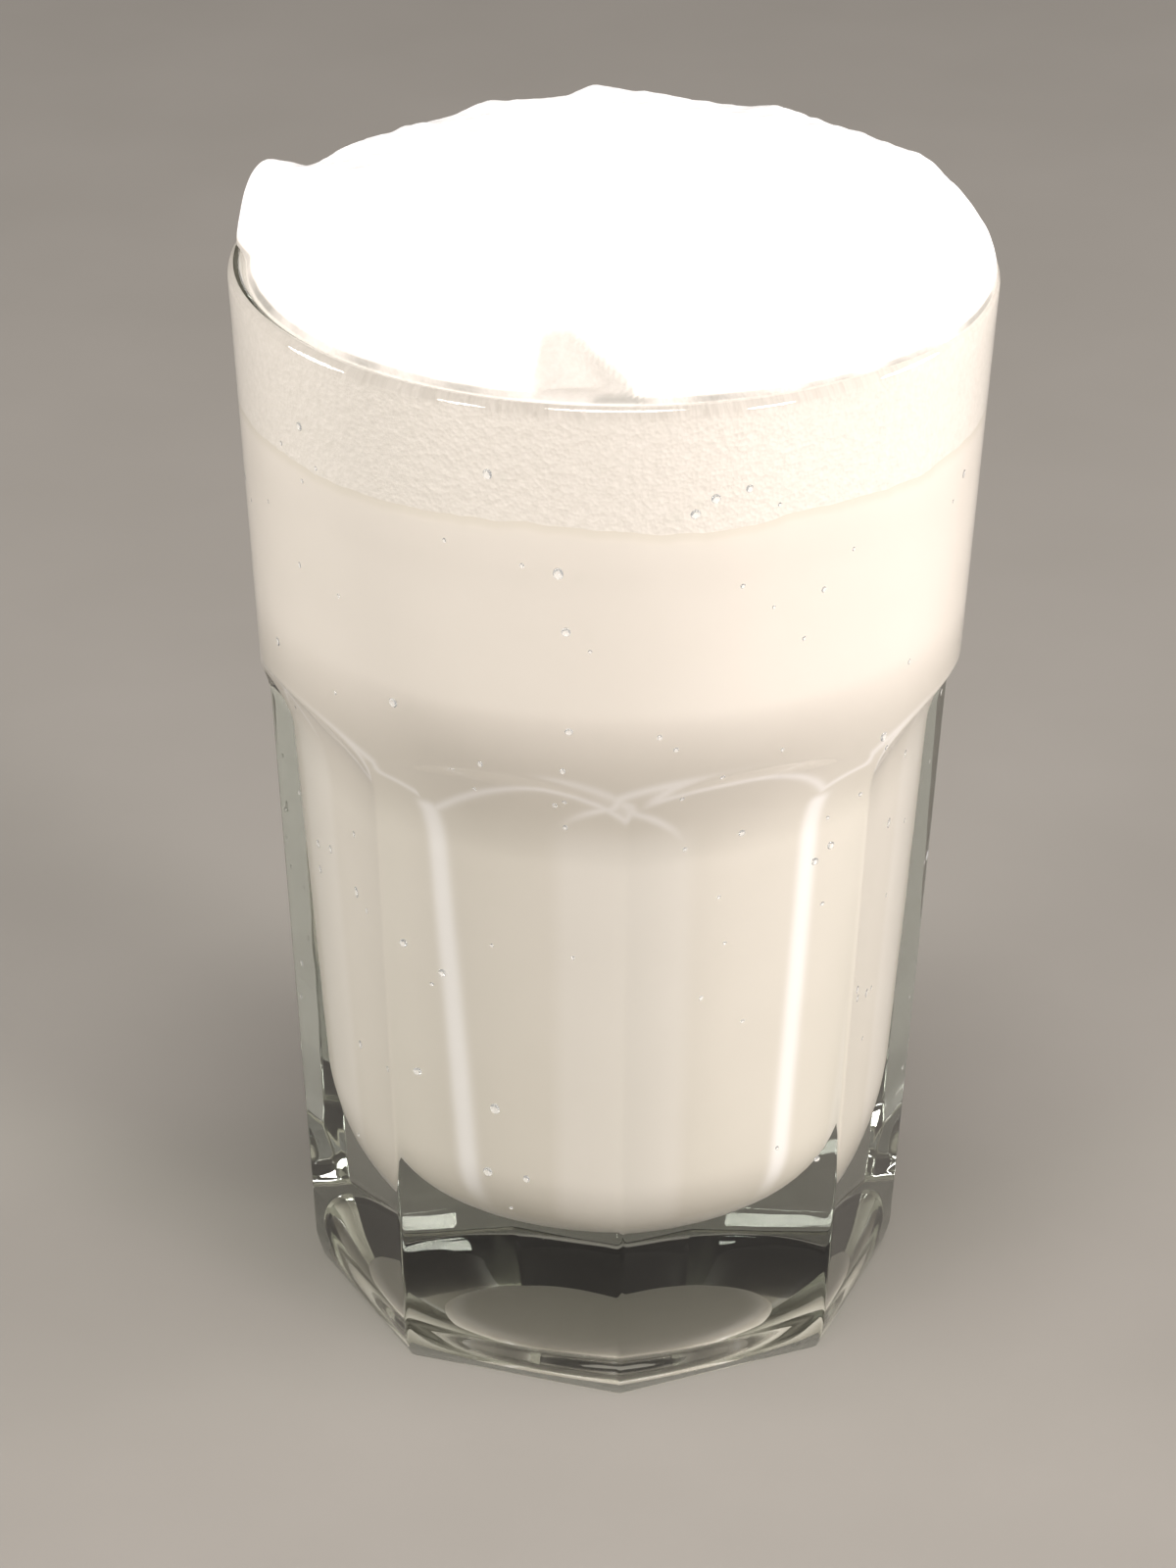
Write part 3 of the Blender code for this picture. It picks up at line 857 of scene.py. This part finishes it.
def make_drink_material():
    """Opaque creamy white, barely mottled, with the light and shade that the glass casts on it painted
    into its colour.
    """
    material, tree, shader, place = new_material("ayran")
    # The painted light and shade, read from the mesh.
    light = tree.nodes.new("ShaderNodeAttribute")
    light.attribute_name = "line_light"
    lit = add_ramp(tree, light.outputs["Fac"], DRINK_LIGHT_AND_SHADE_STOPS)
    mottle = add_noise(tree, place, DRINK_MOTTLE_SIZE, detail=4.0)
    shades = add_ramp(tree, mottle, DRINK_MOTTLE_STOPS)
    tree.links.new(multiply_colours(tree, lit, shades), shader.inputs["Base Color"])
    shader.inputs["Roughness"].default_value = 0.5
    shader.inputs["Specular IOR Level"].default_value = 0.1
    return material


def make_foam_material():
    """White foam of fine bubbles over larger ones, greyer against the glass, and darker where shade is
    painted in the cleft and along the lip's foot.
    """
    material, tree, shader, place = new_material("foam")
    fine = add_cells(tree, place, FINE_BUBBLE_SIZE)
    coarse = add_cells(tree, place, COARSE_BUBBLE_SIZE)
    grain = add_noise(tree, place, FOAM_GRAIN_SIZE, detail=4.0)
    shades = add_ramp(tree, grain, FOAM_GRAIN_STOPS)
    # The grey tone against the glass and the painted shade in the cleft and along the lip's foot.
    grey_and_shade = tree.nodes.new("ShaderNodeAttribute")
    grey_and_shade.attribute_name = "grey_and_shade"
    tones = add_ramp(tree, grey_and_shade.outputs["Fac"], FOAM_GREY_AND_SHADE_STOPS)
    tree.links.new(multiply_colours(tree, tones, shades), shader.inputs["Base Color"])
    shader.inputs["Roughness"].default_value = 0.6
    shader.inputs["Specular IOR Level"].default_value = 0.25
    first = add_bump(tree, coarse, COARSE_BUBBLE_DEPTH)
    tree.links.new(add_bump(tree, fine, FINE_BUBBLE_DEPTH, under=first), shader.inputs["Normal"])
    return material


def make_floor_material():
    """A plain pale matte floor."""
    material, tree, shader, place = new_material("pale_floor")
    grain = add_noise(tree, place, FLOOR_GRAIN_SIZE)
    colour = add_ramp(tree, grain, FLOOR_STOPS)
    tree.links.new(colour, shader.inputs["Base Color"])
    shader.inputs["Roughness"].default_value = 0.7
    return material


# The studio.


def make_floor():
    """The floor."""
    bpy.ops.mesh.primitive_plane_add(size=FLOOR_SIZE)
    floor = bpy.context.object
    floor.name = "floor"
    floor.data.materials.append(make_floor_material())


def add_lamp(name, azimuth, elevation, size, power, colour):
    """A round soft lamp aimed at the middle of the glass."""
    data = bpy.data.lights.new(name, "AREA")
    data.shape = "DISK"
    data.size = size
    data.energy = power
    data.color = colour
    light = bpy.data.objects.new(name, data)
    around = math.radians(azimuth)
    up = math.radians(elevation)
    aim_point = Vector((0.0, 0.0, LAMP_AIM_HEIGHT))
    outward = Vector((math.cos(around) * math.cos(up), math.sin(around) * math.cos(up), math.sin(up)))
    light.location = aim_point + outward * LAMP_DISTANCE
    aim = aim_point - light.location
    light.rotation_euler = aim.to_track_quat("-Z", "Y").to_euler()
    bpy.context.scene.collection.objects.link(light)


def make_lights():
    """The lamps, and a faint light from all round."""
    for lamp in LAMPS:
        add_lamp(*lamp)
    world = bpy.data.worlds.new("studio")
    bpy.context.scene.world = world
    world.use_nodes = True
    background = world.node_tree.nodes["Background"]
    background.inputs["Color"].default_value = WORLD_COLOUR
    background.inputs["Strength"].default_value = WORLD_STRENGTH


def make_camera():
    """The camera that the photograph was taken with, as fitted to the rim, the corners and the foot."""
    data = bpy.data.cameras.new("camera")
    data.sensor_fit = "VERTICAL"
    data.sensor_height = SENSOR_HEIGHT
    data.lens = FOCAL_LENGTH_PX / PHOTO_HEIGHT_PX * SENSOR_HEIGHT
    data.clip_start = 0.01
    camera = bpy.data.objects.new("camera", data)
    forward = Vector((0.0, math.cos(CAMERA_PITCH), -math.sin(CAMERA_PITCH)))
    right = Vector((1.0, 0.0, 0.0))
    up = right.cross(forward)
    across = right * math.cos(CAMERA_ROLL) + up * math.sin(CAMERA_ROLL)
    upward = up * math.cos(CAMERA_ROLL) - right * math.sin(CAMERA_ROLL)
    turn = Matrix((across, upward, -forward)).transposed().to_4x4()
    place = (CAMERA_TARGET - forward * CAMERA_DISTANCE) * MM
    camera.matrix_world = Matrix.Translation(place) @ turn
    bpy.context.scene.collection.objects.link(camera)
    bpy.context.scene.camera = camera


def set_look():
    """Plain colours, and enough bounces for light to pass through the glass."""
    scene = bpy.context.scene
    scene.view_settings.view_transform = "Standard"
    scene.cycles.max_bounces = 20
    scene.cycles.transmission_bounces = 18
    scene.cycles.glossy_bounces = 10
    scene.cycles.diffuse_bounces = 4
    scene.cycles.caustics_refractive = False
    scene.cycles.caustics_reflective = False


def main():
    """Builds the four pieces of the part, then the studio round them."""
    glass = add_piece("glass_clear", make_glass_mesh(), make_glass_material())
    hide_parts("glass")
    drink = add_piece("ayran_drink", make_drink_mesh(), make_drink_material())
    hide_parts("ayran")
    foam = add_piece("foam_heap", make_foam_mesh(), make_foam_material())
    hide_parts("foam")
    add_piece("water_beads", make_beads_mesh(), make_water_material())
    make_floor()
    make_lights()
    make_camera()
    set_look()


main()
